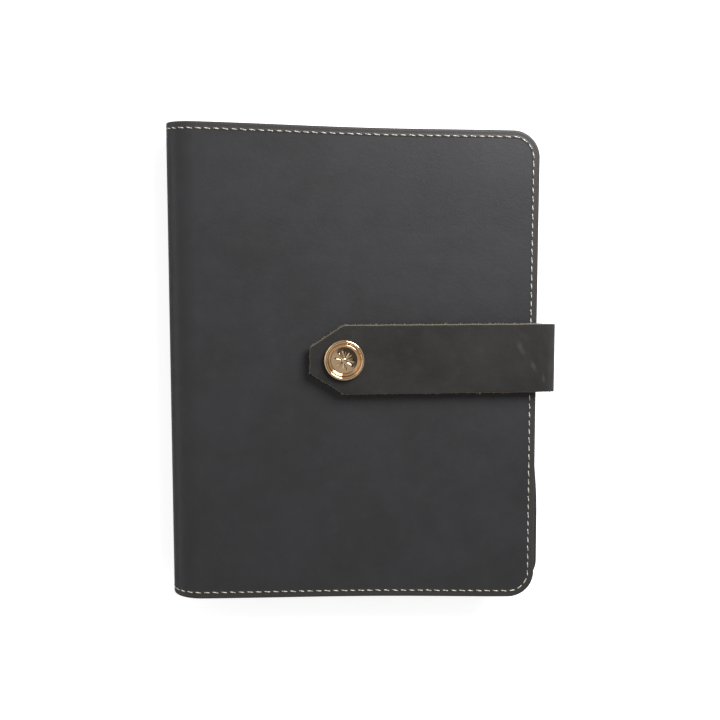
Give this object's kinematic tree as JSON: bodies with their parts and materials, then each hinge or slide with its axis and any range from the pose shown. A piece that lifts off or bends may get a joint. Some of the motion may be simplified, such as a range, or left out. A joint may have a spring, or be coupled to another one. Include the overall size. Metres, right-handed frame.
{
  "type": "leather notebook cover",
  "caption": "Dark leather notebook cover with a rounded spine, cream stitching, two lined sleeve pockets and a wrap-over strap that closes on the front with a gold press snap.",
  "frame": {"origin": "centre of the bounding box's underside, where the closed cover rests on its back", "axes": "+X from the spine to the fore edge, +Y up the page, +Z out of the front cover"},
  "size_m": [0.1888, 0.23, 0.0392],
  "materials": {
    "cover_leather": "matte",
    "strap_leather": "matte",
    "lining_leather": "matte",
    "board": "matte",
    "thread": "satin",
    "gold_cap": "polished",
    "snap_brass": "satin",
    "spring_steel": "satin"
  },
  "bodies": {
    "back_cover": {"back_cover_leather": "cover_leather", "back_cover_board": "board", "back_cover_lining": "lining_leather", "back_cover_sleeve": "lining_leather", "back_cover_stitching": "thread", "strap_anchor": "strap_leather", "strap_anchor_stitching": "thread"},
    "spine": {"spine_leather": "cover_leather", "spine_lining": "lining_leather", "spine_stitching": "thread"},
    "front_cover": {"front_cover_leather": "cover_leather", "front_cover_board": "board", "front_cover_lining": "lining_leather", "front_cover_sleeve": "lining_leather", "front_cover_stitching": "thread", "snap_stud": "snap_brass", "snap_stud_post": "snap_brass"},
    "strap_riser": {"strap_riser": "strap_leather"},
    "strap_tongue": {"strap_tongue": "strap_leather", "snap_cap": "gold_cap", "snap_socket": "snap_brass", "snap_ring_spring": "spring_steel"}
  },
  "joints": [
    {"name": "back_crease", "type": "hinge", "parent": "back_cover", "child": "spine", "pos_m": [-0.09002, 0, 0.0066], "axis": [0, -1, 0], "range_deg": [0, 88]},
    {"name": "front_crease", "type": "hinge", "parent": "spine", "child": "front_cover", "pos_m": [-0.09002, 0, 0.0264], "axis": [0, -1, 0], "range_deg": [0, 88]},
    {"name": "strap_lower_bend", "type": "hinge", "parent": "back_cover", "child": "strap_riser", "pos_m": [0.09289, 0.0041, 0.00154], "axis": [0, 1, 0], "range_deg": [0, 88]},
    {"name": "strap_upper_bend", "type": "hinge", "parent": "strap_riser", "child": "strap_tongue", "pos_m": [0.09113, 0.0041, 0.0332], "axis": [0, 1, 0], "range_deg": [0, 88]}
  ]
}
